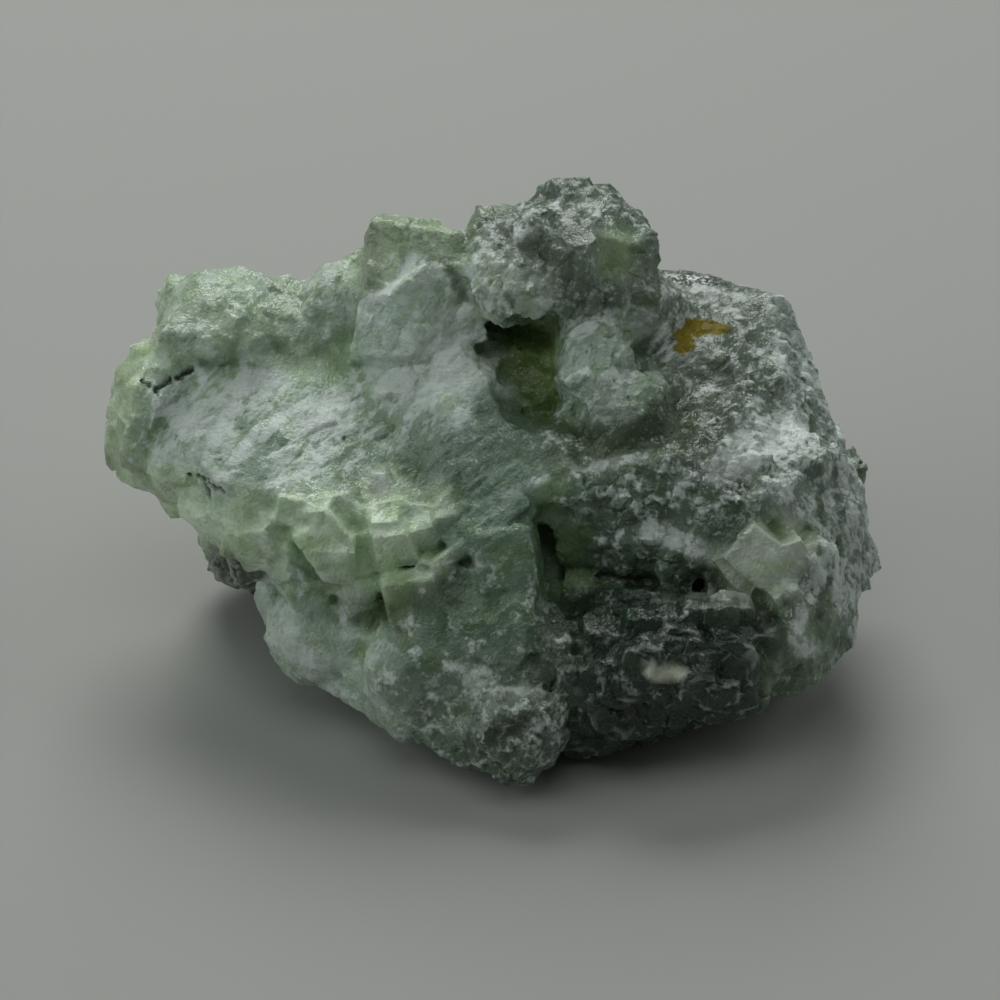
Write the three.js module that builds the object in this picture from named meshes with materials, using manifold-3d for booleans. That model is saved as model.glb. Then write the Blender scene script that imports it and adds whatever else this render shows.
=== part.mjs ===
// Rough prehnite: one hand-sized piece of pale green mineral, as it came out of the rock.
// It grew as one body. Several knobs of tabular crystals, each standing on its own lumpy core, run
// into each other, and a few faces are broken flat. Everything is joined in one closed solid.
//
// Millimetres, +Z up, X along the stone's length. The front, with the large crystal faces, looks to -Y.
// The origin is at the middle of the bounding box, on the surface that the stone rests on.
import * as THREE from "three";
import { ConvexGeometry } from "three/addons/geometries/ConvexGeometry.js";
import { mergeVertices } from "three/addons/utils/BufferGeometryUtils.js";
import Module from "manifold-3d";

const wasm = await Module();
wasm.setup();

// Driving dimensions
const REST_HEIGHT = 0; // where the flat resting face cuts the lowest lumps
const TAPER = 0.86; // a tablet's outer face as a share of its inner end

// Repeatable random numbers, so that the stone is the same each time
function dice(seed) {
  let state = seed >>> 0;
  return () => {
    state = (state + 0x6d2b79f5) >>> 0;
    let t = Math.imul(state ^ (state >>> 15), 1 | state);
    t = (t + Math.imul(t ^ (t >>> 7), 61 | t)) ^ t;
    return ((t ^ (t >>> 14)) >>> 0) / 4294967296;
  };
}

// A closed solid from a three.js geometry
function solid(geometry) {
  const bare = geometry.clone();
  bare.deleteAttribute("normal");
  bare.deleteAttribute("uv");
  const merged = mergeVertices(bare, 1e-4);
  return new wasm.Manifold(
    new wasm.Mesh({
      numProp: 3,
      vertProperties: new Float32Array(merged.attributes.position.array),
      triVerts: new Uint32Array(merged.index.array),
    }),
  );
}

const join = (solids) => solids.reduce((all, next) => all.add(next));

// Evenly spread directions round a ball, from +Z down, on a golden spiral
function spiral(count) {
  const golden = Math.PI * (3 - Math.sqrt(5));
  return Array.from({ length: count }, (_, i) => {
    const z = 1 - (2 * i + 1) / count;
    const r = Math.sqrt(1 - z * z);
    return new THREE.Vector3(r * Math.cos(golden * i), r * Math.sin(golden * i), z);
  });
}

// A place on the stone, with Z along the way it faces, X level and Y as near upright as can be
function facing(at, face, roll = 0) {
  const out = new THREE.Vector3(...face).normalize();
  const side = new THREE.Vector3(0, 0, 1).cross(out);
  if (side.length() < 0.1) side.set(1, 0, 0);
  side.normalize();
  const up = out.clone().cross(side).normalize();
  side.copy(up).cross(out);
  const stand = new THREE.Matrix4().makeBasis(side, up, out).setPosition(...at);
  return stand.multiply(new THREE.Matrix4().makeRotationZ(THREE.MathUtils.degToRad(roll)));
}

// An angular lump: the hull of a few points spread over a rounded box
function lump({ at, radii, seed, points = 30, rough = 0.12, square = 0.8 }) {
  const random = dice(seed);
  const any = () => random() - 0.5;
  const spin = new THREE.Quaternion(any(), any(), any(), any()).normalize();
  const corners = spiral(points).map((way) => {
    way.applyQuaternion(spin);
    const box = way.toArray().map((v) => Math.sign(v) * Math.abs(v) ** square);
    const reach = 1 + rough * (2 * random() - 1);
    return new THREE.Vector3(...box.map((v, k) => at[k] + v * radii[k] * reach));
  });
  return solid(new ConvexGeometry(corners));
}

// A tablet-shaped crystal: size is its width, height and thickness, and `at` the middle of its outer face
function tablet({ at, face, roll = 0, size }) {
  const [width, height, thick] = size;
  const box = new THREE.BoxGeometry(width, height, thick).translate(0, 0, -thick / 2);
  const points = box.attributes.position;
  for (let i = 0; i < points.count; i++) {
    if (points.getZ(i) < -thick / 2) continue;
    points.setX(i, points.getX(i) * TAPER);
    points.setY(i, points.getY(i) * TAPER);
  }
  return solid(box.applyMatrix4(facing(at, face, roll)));
}

// Tablets on the free side of a knob, turned within `turn` degrees of each other
function crust({ at, radii, toward, spread = 70, size, lean = 0.2, proud = 0.8, turn = 40, seed }) {
  const random = dice(seed + 100);
  const middle = new THREE.Vector3(...toward).normalize();
  const tilt = new THREE.Quaternion().setFromUnitVectors(new THREE.Vector3(0, 0, 1), middle);
  const area = 4 * Math.PI * (radii[0] * radii[1] * radii[2]) ** (2 / 3);
  const ways = spiral(Math.round(area / (size * size * 0.85)));
  const reach = Math.cos(THREE.MathUtils.degToRad(spread));
  return ways
    .filter((way) => way.z > reach)
    .map((way) => {
      way.applyQuaternion(tilt);
      const scale = new THREE.Vector3(...radii);
      const face = way.clone().divide(scale).normalize();
      face.add(new THREE.Vector3(random() - 0.5, random() - 0.5, random() - 0.5).multiplyScalar(2 * lean));
      const foot = way.multiply(scale).add(new THREE.Vector3(...at));
      foot.addScaledVector(face.normalize(), proud * (0.1 + 1.3 * random()) - 0.4);
      const width = size * (0.75 + 0.7 * random());
      const height = size * (0.7 + 0.6 * random());
      return tablet({
        at: foot.toArray(),
        face: face.toArray(),
        roll: turn * (random() - 0.5),
        size: [width, height, size * 1.2],
      });
    });
}

// Rows of tablets on a flat side of the stone: `across` and `down` say how many, `size` how wide one is
function rows({ at, face, roll = 0, across, down, size, stretch = 1, lean = 0.18, proud = 0.5, seed }) {
  const random = dice(seed + 200);
  const stand = facing(at, face, roll);
  const side = new THREE.Vector3().setFromMatrixColumn(stand, 0);
  const up = new THREE.Vector3().setFromMatrixColumn(stand, 1);
  const out = new THREE.Vector3().setFromMatrixColumn(stand, 2);
  const made = [];
  for (let row = 0; row < down; row++) {
    for (let column = 0; column < across; column++) {
      const x = (column - (across - 1) / 2 + 0.5 * (row % 2) + 0.4 * (random() - 0.5)) * size;
      const y = (row - (down - 1) / 2 + 0.3 * (random() - 0.5)) * size * stretch;
      const foot = new THREE.Vector3(...at).addScaledVector(side, x).addScaledVector(up, y);
      foot.addScaledVector(out, proud * (1.6 * random() - 0.3));
      const away = new THREE.Vector3(random() - 0.5, random() - 0.5, random() - 0.5);
      const width = size * (0.8 + 0.6 * random());
      const height = size * stretch * (0.8 + 0.5 * random());
      made.push(
        tablet({
          at: foot.toArray(),
          face: out.clone().addScaledVector(away, 2 * lean).toArray(),
          roll: roll + 20 * (random() - 0.5),
          size: [width, height, size * 1.3],
        }),
      );
    }
  }
  return made;
}

// Thin slabs that open like the pages of a book, each turned a few degrees from the last
function book({ at, face, roll, size, count, step, shift }) {
  const [width, height, thick] = size;
  return Array.from({ length: count }, (_, i) => {
    const stand = facing(at, face, roll);
    const slide = new THREE.Matrix4().makeTranslation(shift[0] * i, shift[1] * i, shift[2] * i);
    const turn = new THREE.Matrix4().makeRotationY(THREE.MathUtils.degToRad(step * (i - (count - 1) / 2)));
    const page = new THREE.BoxGeometry(width, height * (1 - 0.12 * (i % 3)), thick);
    return solid(page.translate(0, 0, -thick / 2).applyMatrix4(stand.multiply(slide).multiply(turn)));
  });
}

// An angular mass with chosen corners, for the large broken faces of the stone
const block = (corners) => solid(new ConvexGeometry(corners.map((corner) => new THREE.Vector3(...corner))));

// The large masses, each as the corners of its faces
const BLOCKS = {
  paleLeftMass: [
    [-26, 9.5, 27], [-19, 11, 27.8], [-12, 9.5, 27], [-6, 6, 24.5], [-29.5, 6.5, 23.5], [-29, 5, 19],
    [-24, -2, 21.5], [-17, -4.5, 21.8], [-11, -5.5, 21], [-6, -5, 20.5], [-20, -5, 17], [-13, -7.2, 16.5],
    [-8, -7.2, 17], [-24.5, 1.5, 14.5], [-20, -2, 13], [-13, -4, 12.2], [-8, -5, 13.5], [-25, 9, 13.5],
    [-10, 12, 12], [-5, 4, 13],
  ],
  saddle: [
    [-4.6, 8.5, 30], [-10.8, 5.5, 25.6], [-0.6, 4, 26], [2.9, -0.5, 24.6], [-5, -3, 22.4], [1.6, -5, 20.8],
    [-2.5, -8.2, 16.6], [-6.5, -7.6, 15.4], [0.4, -6.6, 16.2], [2, 0, 14], [-9, 7, 14], [1, 9, 25],
  ],
  rightMass: [
    [9, 16, 29], [14, 18.5, 29.6], [25, 15.5, 28.2], [20.5, 20.5, 26], [27, 9.5, 23.8], [24, 0, 22],
    [17, -2.8, 24.2], [10, -2.8, 23.6], [3.4, -2.8, 22.4], [4.8, 6, 25.4], [29.6, 4, 19], [31.3, -0.5, 15.5],
    [31, -2.5, 12], [29, 7, 11], [5, -3.8, 14.5], [12, -6.2, 15], [17.5, -7.4, 16.4], [25, -7, 14.5],
    [6, 0, 8], [28, 0, 6], [26, 12, 8], [21, 21, 10], [8, 18, 8],
  ],
  scalyLobe: [
    [4.5, -10.5, 12.5], [12, -11.5, 14], [20, -11.5, 13.5], [25.5, -8.5, 12.5], [3.5, -12.5, 8],
    [9, -14.5, 6.8], [15.5, -14.2, 7], [22.5, -11.8, 6.2], [7, -12.6, 2], [14.5, -9.5, 2.8],
    [22, -7.5, 3], [26, -5, 3.3],
    [6, -3, 13], [25, 0, 12], [5, -2, 0], [24, 0, 0],
  ],
  flange: [
    [24, -9, 12], [29.5, -6.5, 12], [30.6, -2, 13], [30, -6, 7.5], [27, -8.4, 5], [23.5, -9.5, 5.5],
    [27.5, -3, 2.5], [23, 0, 1], [29.5, 3, 6], [24, 6, 12],
  ],
  lowLobe: [
    [-20.3, 1, 12], [-21.4, -0.5, 8], [-19.3, -2.5, 4.6], [-15, -8, 3.6], [-9, -12.5, 2.2], [-12, -4, 12.2],
    [-7, -8, 12.5], [-9, -12, 8], [-15.5, -6, 8.4], [-18, 5, 2.5], [-8, 5, 0], [-5, -8, 0], [-6, 2, 11],
  ],
  frontFoot: [
    [-8, -8.2, 16.4], [3, -8.5, 16], [4.6, -11.5, 12], [-9.5, -11.8, 11], [-8, -14, 6], [-5.5, -15.2, 2.6],
    [1, -18.2, 2.6], [-1, -17.6, 5.5], [4.6, -15.8, 3.2], [4, -14.6, 8.5], [0, -15.6, 9.5], [-7, -7, 0],
    [1, -14, 0], [4.5, -5, 0], [4.5, -5, 12],
  ],
  core: [
    [-8, -9, 1.2], [4, -11, 1.2], [21, -6, 1.2], [24, 6, 1.2], [-12, 6, 1.2],
    [-10, -6, 11], [3, -9, 11], [20, -6, 12], [24, 6, 12], [-12, 6, 12],
  ],
  backRidge: [
    [-20, 14, 25], [-12, 17.5, 28], [-3, 20, 29.5], [8, 21, 29], [17, 21.5, 24], [-24, 15, 18], [-17, 21, 15],
    [-6, 24, 18], [6, 24.6, 20], [19, 23.5, 13], [-21, 15, 8], [-8, 22, 4], [8, 22.5, 5], [20, 19, 4],
    [-10, 4, 26], [12, 6, 26], [-14, 10, 2], [0, 18, 0], [14, 16, 0], [-8, 2, 0], [16, 2, 0],
  ],
};

// Lumps that round off the masses and run them into each other
const LUMPS = [
  // the rim, the dome and the ridge of the pale left mass
  { at: [-28, 9, 20], radii: [5.2, 6, 6.6], seed: 4 },
  { at: [-26.6, 5.5, 18], radii: [3.4, 4.5, 4.5], seed: 5 },
  { at: [-23.5, 13, 25.6], radii: [6, 5.8, 5.4], seed: 6 },
  { at: [-17.5, 13, 25.5], radii: [4.5, 4.5, 4.6], seed: 7 },
  { at: [-13, 14, 28], radii: [4, 4.5, 4.4], seed: 8 },
  { at: [-12, -1.2, 18], radii: [7, 5.6, 3.6], seed: 9 },
  { at: [-21.5, 1.5, 16.5], radii: [5.5, 4.5, 4], seed: 10 },
  // the bridge from the saddle to the right mass
  { at: [3.6, 0.8, 20.4], radii: [4.6, 5.2, 4.4], seed: 39 },
  // the dark knob at the top, in three humps
  { at: [6.4, 14.5, 32], radii: [6.6, 6.6, 6.2], points: 36, rough: 0.16, seed: 11 },
  { at: [4.5, 18, 28.5], radii: [8.5, 5.5, 6.6], rough: 0.16, seed: 40 },
  { at: [1, 11.5, 33], radii: [4, 4.8, 4], seed: 12 },
  { at: [9.8, 13, 30.6], radii: [3.8, 4.5, 4.4], seed: 13 },
  { at: [-1.2, 14, 33.6], radii: [2.4, 3.5, 3], points: 18, seed: 14 },
  // the boss on the right mass, the swelling behind the stain and the shoulder above the flank
  { at: [8, 8, 26], radii: [4, 6, 5.2], seed: 15 },
  { at: [10.6, 3.6, 23.4], radii: [4.6, 5.4, 4.2], seed: 37 },
  { at: [9.6, 12, 28.4], radii: [6.4, 5, 4.6], seed: 38 },
  { at: [17.5, 13, 23.6], radii: [8.4, 7.5, 5.4], seed: 16 },
  { at: [20, 2.4, 19], radii: [8, 6.6, 5], seed: 17 },
  { at: [27, 2, 15], radii: [4.4, 6, 6], seed: 18 },
  { at: [9, -0.6, 19.4], radii: [6.6, 4.2, 4.6], seed: 19 },
  // the scaly lobe, its rounded right end and the piece between it and the front foot
  { at: [14, -9.5, 9.5], radii: [8.5, 5.5, 5.4], seed: 20 },
  { at: [23, -7, 9.5], radii: [5.5, 5, 5.5], seed: 21 },
  { at: [6, -9, 7], radii: [5, 5.5, 6], seed: 22 },
  // the low lobe and the tip that reaches furthest forward
  { at: [-14, -4.5, 7.6], radii: [6, 4.5, 5], seed: 23 },
  { at: [-6, -10.5, 7.5], radii: [6, 5, 5.5], seed: 24 },
  { at: [1.4, -14.6, 5.4], radii: [4.6, 4.2, 4.2], seed: 25 },
  // the dark foot under the left mass, and the uneven back
  { at: [-21, 10.5, 8.5], radii: [5, 5.5, 7], seed: 26 },
  { at: [-13, 16, 19], radii: [8, 6, 8], seed: 27 },
  { at: [1, 20, 22], radii: [7, 5, 7], seed: 28 },
  { at: [14, 19, 17], radii: [9, 5.4, 9], seed: 29 },
  { at: [4, 19.5, 9], radii: [10, 5, 7], seed: 30 },
];

// Where tablets stand close together on the free side of a lump
const CRUSTS = [
  {
    at: [-28, 9, 20], radii: [5.2, 6, 6.6], toward: [-1, 0.2, 0.2],
    spread: 85, size: 3.6, proud: 0.4, seed: 1,
  },
  {
    at: [-23.5, 13, 25.6], radii: [6, 5.8, 5.4], toward: [-0.3, 0.3, 1],
    spread: 95, size: 3.4, proud: 0.5, seed: 2,
  },
  {
    at: [6.6, 14.5, 32], radii: [6.6, 6.6, 6.2], toward: [0.1, 0.2, 1],
    spread: 90, size: 3.3, proud: 0.4, seed: 3,
  },
  {
    at: [1, 11.5, 33], radii: [4, 4.8, 4], toward: [-0.4, -0.5, 1],
    spread: 70, size: 2.8, proud: 0.3, seed: 4,
  },
  {
    at: [14, -9.5, 9.5], radii: [8.5, 5.5, 5.4], toward: [0, -1, 0.1],
    spread: 70, size: 3.4, proud: 0.6, seed: 5,
  },
  {
    at: [23, -7, 9.5], radii: [5.5, 5, 5.5], toward: [0.5, -1, 0],
    spread: 70, size: 3.4, proud: 0.5, seed: 6,
  },
  {
    at: [1.4, -14.6, 5.4], radii: [4.6, 4.2, 4.2], toward: [0.3, -1, 0.3],
    spread: 70, size: 3, proud: 0.4, seed: 7,
  },
  // the back, in coarse broken pieces
  {
    at: [-10, 12, 15], radii: [13, 9.5, 13], toward: [-0.3, 1, 0.2],
    spread: 65, size: 8, lean: 0.4, turn: 180, seed: 8,
  },
  {
    at: [8, 13, 14], radii: [16, 11, 13], toward: [0.2, 1, 0.2],
    spread: 65, size: 8.5, lean: 0.4, turn: 180, seed: 9,
  },
];

// Where tablets stand in rows on a flat side
const ROWS = [
  // the lower band of the pale left mass
  {
    at: [-11.6, -6.9, 15.6], face: [0, -0.95, 0.15], roll: 8,
    across: 3, down: 2, size: 4.2, seed: 1,
  },
  {
    at: [-19.4, -4.6, 16], face: [-0.4, -0.9, 0.1], roll: 22,
    across: 2, down: 2, size: 4, seed: 2,
  },
  {
    at: [-24.6, -0.4, 17], face: [-0.75, -0.7, 0.05], roll: -8,
    across: 2, down: 2, size: 3.4, seed: 8,
  },
  // the right flank, in tall plates
  {
    at: [27.2, -3.2, 16.4], face: [0.75, -0.75, 0.35], roll: 12,
    across: 4, down: 2, size: 2.5, stretch: 2.6, seed: 3,
  },
  {
    at: [28, 5.5, 18.4], face: [1, 0.1, 0.45], roll: 14,
    across: 4, down: 2, size: 2.8, stretch: 2.4, seed: 4,
  },
];

// Crystals that open like a book: the fan in the middle and the plates at the foot of the right flank
const BOOKS = [
  {
    at: [-1.6, -4.4, 21.6], face: [0, -0.72, 0.7], roll: -42,
    size: [5, 9.5, 1.4], count: 3, step: 5, shift: [1.2, -0.6, -0.7],
  },
  {
    at: [25.4, -8.2, 15], face: [0.4, -0.9, 0.2], roll: 12,
    size: [1.8, 9, 3.5], count: 3, step: 9, shift: [1.6, -0.7, -0.3],
  },
];

// Single large crystals, and where each one's outer face is
const TABLETS = [
  // the block behind the saddle, and the smaller one standing behind it
  { at: [-8.4, 8.4, 30.6], face: [-0.2, -0.86, 0.56], roll: -3, size: [9, 9.8, 9] },
  { at: [-8.4, 12.6, 34.6], face: [0.05, -0.6, 0.8], roll: 4, size: [6.8, 5.6, 9] },
  // the smooth facet beside it
  { at: [-14.8, 9.6, 26.6], face: [0.15, -0.8, 0.5], roll: -4, size: [6, 6.5, 6] },
  // the slanted plate at the front
  { at: [-2.4, -11.2, 14.6], face: [-0.08, -0.72, 0.68], roll: -7, size: [11.5, 8.4, 5] },
  { at: [0.6, -12.6, 13.4], face: [0.1, -0.8, 0.6], roll: 12, size: [5.2, 4.6, 4] },
  // the pale notched plate on the right
  { at: [21.4, -7.8, 17], face: [0.05, -0.85, 0.45], roll: 38, size: [6.4, 6.4, 5] },
];

// Hollows, cut from what the masses make
const HOLLOWS = [
  { at: [2, 4.4, 28.6], radii: [2.9, 5.4, 4.4], seed: 31 }, // under the dark knob
  { at: [4.4, -6.4, 17.8], radii: [3, 3.4, 4.2], seed: 32 }, // right of the broken face
  { at: [9.4, 8.6, 36.2], radii: [2.2, 2.4, 2.6], seed: 33 }, // in the dark knob
  { at: [-10.5, -7.8, 12.6], radii: [4.6, 3, 1.3], seed: 34 }, // between the pale mass and the low lobe
  { at: [11, -9.4, 15], radii: [2, 2.4, 1.6], seed: 35 }, // above the scaly lobe
];

function stone() {
  const bodies = Object.values(BLOCKS).map(block);
  bodies.push(...LUMPS.map(lump), ...TABLETS.map(tablet));
  bodies.push(...CRUSTS.flatMap(crust), ...ROWS.flatMap(rows), ...BOOKS.flatMap(book));
  let made = join(bodies);
  for (const hollow of HOLLOWS) made = made.subtract(lump({ ...hollow, points: 24 }));
  const below = new THREE.BoxGeometry(200, 200, 100).translate(0, 0, REST_HEIGHT - 50);
  return outside(made.subtract(solid(below)));
}

// The outer shell alone, so that gaps which the crystals close off inside are solid stone
function outside(made) {
  return made.decompose().reduce((most, next) => (next.volume() > most.volume() ? next : most));
}

function geometryOf(made) {
  const mesh = made.getMesh();
  const geometry = new THREE.BufferGeometry();
  geometry.setAttribute("position", new THREE.BufferAttribute(new Float32Array(mesh.vertProperties), 3));
  geometry.setIndex(new THREE.BufferAttribute(new Uint32Array(mesh.triVerts), 1));
  return geometry;
}

const material = new THREE.MeshStandardMaterial({
  color: 0x8fa58f,
  roughness: 0.45,
  metalness: 0,
  flatShading: true,
});
const prehnite = new THREE.Mesh(geometryOf(stone()), material);
prehnite.name = "prehnite";

// Set the stone down with the middle of its bounding box over the origin
prehnite.geometry.computeBoundingBox();
const { min, max } = prehnite.geometry.boundingBox;
prehnite.position.set(-(min.x + max.x) / 2, -(min.y + max.y) / 2, -min.z);

const group = new THREE.Group();
group.add(prehnite);
export default group;
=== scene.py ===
# %% [markdown]
# # A rough piece of prehnite
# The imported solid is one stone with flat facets. This lesson gives it the surface of the real mineral.
# We copy the solid, set the large crystals on it, melt everything into one skin, raise thousands of small
# crystals from that skin, and then colour it with nodes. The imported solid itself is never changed.

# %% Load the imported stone
import math

import bpy
import numpy as np
from mathutils import Matrix, Vector
from mathutils.noise import noise_vector, seed_set


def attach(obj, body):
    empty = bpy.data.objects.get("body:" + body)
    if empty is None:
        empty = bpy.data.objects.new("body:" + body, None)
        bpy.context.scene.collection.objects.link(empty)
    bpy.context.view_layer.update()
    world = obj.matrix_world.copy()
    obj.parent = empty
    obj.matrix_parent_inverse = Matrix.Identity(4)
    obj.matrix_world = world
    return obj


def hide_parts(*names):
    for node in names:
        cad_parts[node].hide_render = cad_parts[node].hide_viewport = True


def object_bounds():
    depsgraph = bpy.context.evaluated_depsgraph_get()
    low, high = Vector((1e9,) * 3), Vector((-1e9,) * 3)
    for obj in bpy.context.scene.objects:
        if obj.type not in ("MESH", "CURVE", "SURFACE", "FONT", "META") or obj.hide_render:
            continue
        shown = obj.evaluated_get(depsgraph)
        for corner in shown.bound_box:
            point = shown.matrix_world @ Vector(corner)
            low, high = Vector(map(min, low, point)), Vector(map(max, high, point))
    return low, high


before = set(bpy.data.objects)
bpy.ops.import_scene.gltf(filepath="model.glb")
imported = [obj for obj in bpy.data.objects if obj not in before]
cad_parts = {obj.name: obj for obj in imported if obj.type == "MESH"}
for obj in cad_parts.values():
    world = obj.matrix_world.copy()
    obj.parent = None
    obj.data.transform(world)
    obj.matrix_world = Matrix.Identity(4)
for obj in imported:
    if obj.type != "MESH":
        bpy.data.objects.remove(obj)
cad_low, cad_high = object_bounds()
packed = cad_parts["prehnite"]
MM = 0.001
print("packed stone", [round(size / MM, 1) for size in cad_high - cad_low], "mm")

# %% [markdown]
# Places on the stone are easier to read in millimetres. The solid was drawn first and then set down with
# the middle of its box over the origin, so one small shift turns a drawn place into a place in the frame.

# %% Places on the stone
SET_DOWN = Vector((0.4, -3.24, 0.0))


def spot(x, y, z):
    """A place on the stone in metres, from the millimetres of the drawing."""
    return (Vector((x, y, z)) + SET_DOWN) * MM


def deselect():
    """Leaves nothing selected, so that the next operator acts on the new object alone."""
    if bpy.context.object and bpy.context.object.mode != "OBJECT":
        bpy.ops.object.mode_set(mode="OBJECT")
    bpy.ops.object.select_all(action="DESELECT")


def pick(*objects):
    """Selects these objects, and makes the first one active."""
    deselect()
    for one in objects:
        one.select_set(True)
    bpy.context.view_layer.objects.active = objects[0]


# %% [markdown]
# The camera comes first, because every later choice is judged through it. The photograph looks down at
# the stone from about 36 degrees with a long lens, so lines hardly run together.

# %% Camera
CAMERA_HEIGHT = math.radians(36)
CAMERA_DISTANCE = 420 * MM
SENSOR = 36
LENS = 180
NEAREST_SHOWN = 0.01
LOOK_AT = spot(0, 0, 18)

back = Vector((0, -math.cos(CAMERA_HEIGHT), math.sin(CAMERA_HEIGHT)))
deselect()
bpy.ops.object.camera_add(
    location=LOOK_AT + back * CAMERA_DISTANCE,
    rotation=(math.pi / 2 - CAMERA_HEIGHT, 0, 0),
)
camera = bpy.context.object
camera.name = "camera"
camera.data.sensor_width = SENSOR
camera.data.lens = LENS
camera.data.clip_start = NEAREST_SHOWN
bpy.context.scene.camera = camera
print("camera", round(CAMERA_DISTANCE / MM), "mm away, lens", LENS)

# %% [markdown]
# Under and behind the stone lies one plain pale sheet. It is stage, not part of the stone.

# %% Floor
FLOOR_SIZE = 3.0
FLOOR_DROP = 0.02 * MM
BOARD = (0.42, 0.435, 0.41, 1)
BOARD_ROUGH = 0.7
deselect()
bpy.ops.mesh.primitive_plane_add(size=FLOOR_SIZE, location=(0, 0, -FLOOR_DROP))
floor = bpy.context.object
floor.name = "floor"
floor_paint = bpy.data.materials.new("pale board")
floor_paint.use_nodes = True
floor_shader = floor_paint.node_tree.nodes["Principled BSDF"]
floor_shader.inputs["Base Color"].default_value = BOARD
floor_shader.inputs["Roughness"].default_value = BOARD_ROUGH
floor.data.materials.append(floor_paint)
print("floor", FLOOR_SIZE, "m wide")

# %% [markdown]
# The light is one large soft window behind and above the stone, a pale ceiling, a weaker window at each
# side, and a dim room. The front then lies in its own shade, and every ledge on top catches a pale rim.

# %% Lights
WINDOWS = [
    # name, place in metres, width, power in watts, tint
    ("window behind", (-0.06, 0.42, 0.46), 0.34, 1.98, (1.0, 1.0, 0.985)),
    ("pale ceiling", (-0.06, -0.16, 0.72), 0.50, 0.72, (0.98, 1.0, 0.99)),
    ("window left", (-0.50, -0.12, 0.32), 0.36, 0.62, (0.96, 0.98, 1.0)),
    ("window right", (0.55, 0.06, 0.36), 0.36, 0.50, (0.97, 0.99, 1.0)),
]
ROOM_TINT = (0.80, 0.84, 0.83, 1)
ROOM_LIGHT = 0.06


def window(name, place, width, power, tint):
    """A soft square light at a place, turned towards the stone."""
    deselect()
    bpy.ops.object.light_add(type="AREA", location=place)
    lamp = bpy.context.object
    lamp.name = name
    lamp.data.size = width
    lamp.data.energy = power
    lamp.data.color = tint
    lamp.rotation_euler = (Vector(place) - LOOK_AT).to_track_quat("Z", "Y").to_euler()


for light in WINDOWS:
    window(*light)
room = bpy.data.worlds.new("room")
bpy.context.scene.world = room
room.use_nodes = True
room.node_tree.nodes["Background"].inputs["Color"].default_value = ROOM_TINT
room.node_tree.nodes["Background"].inputs["Strength"].default_value = ROOM_LIGHT
bpy.context.scene.view_settings.view_transform = "Standard"
print(len(WINDOWS), "soft lights")

# %% [markdown]
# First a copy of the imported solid. It comes as loose triangles, so its doubles are merged before anything
# else. The copy is what we grow on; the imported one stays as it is.

# %% Copy the solid
SAME_PLACE = 0.000002
stone = packed.copy()
stone.data = packed.data.copy()
stone.parent = None
stone.name = "rough_prehnite"
bpy.context.scene.collection.objects.link(stone)
pick(stone)
bpy.ops.object.mode_set(mode="EDIT")
bpy.ops.mesh.select_all(action="SELECT")
bpy.ops.mesh.remove_doubles(threshold=SAME_PLACE)
bpy.ops.object.mode_set(mode="OBJECT")
bpy.context.view_layer.update()
print("copied solid", len(stone.data.polygons), "faces")

# %% [markdown]
# The stone has over thirty regions that look different. The quickest way to say where they are is to point
# at them in the picture: each region is a few spots of the thousand-pixel view, and a ray from the camera
# finds the place on the stone. The back is out of sight, so its spots are millimetres of the drawing.

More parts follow.
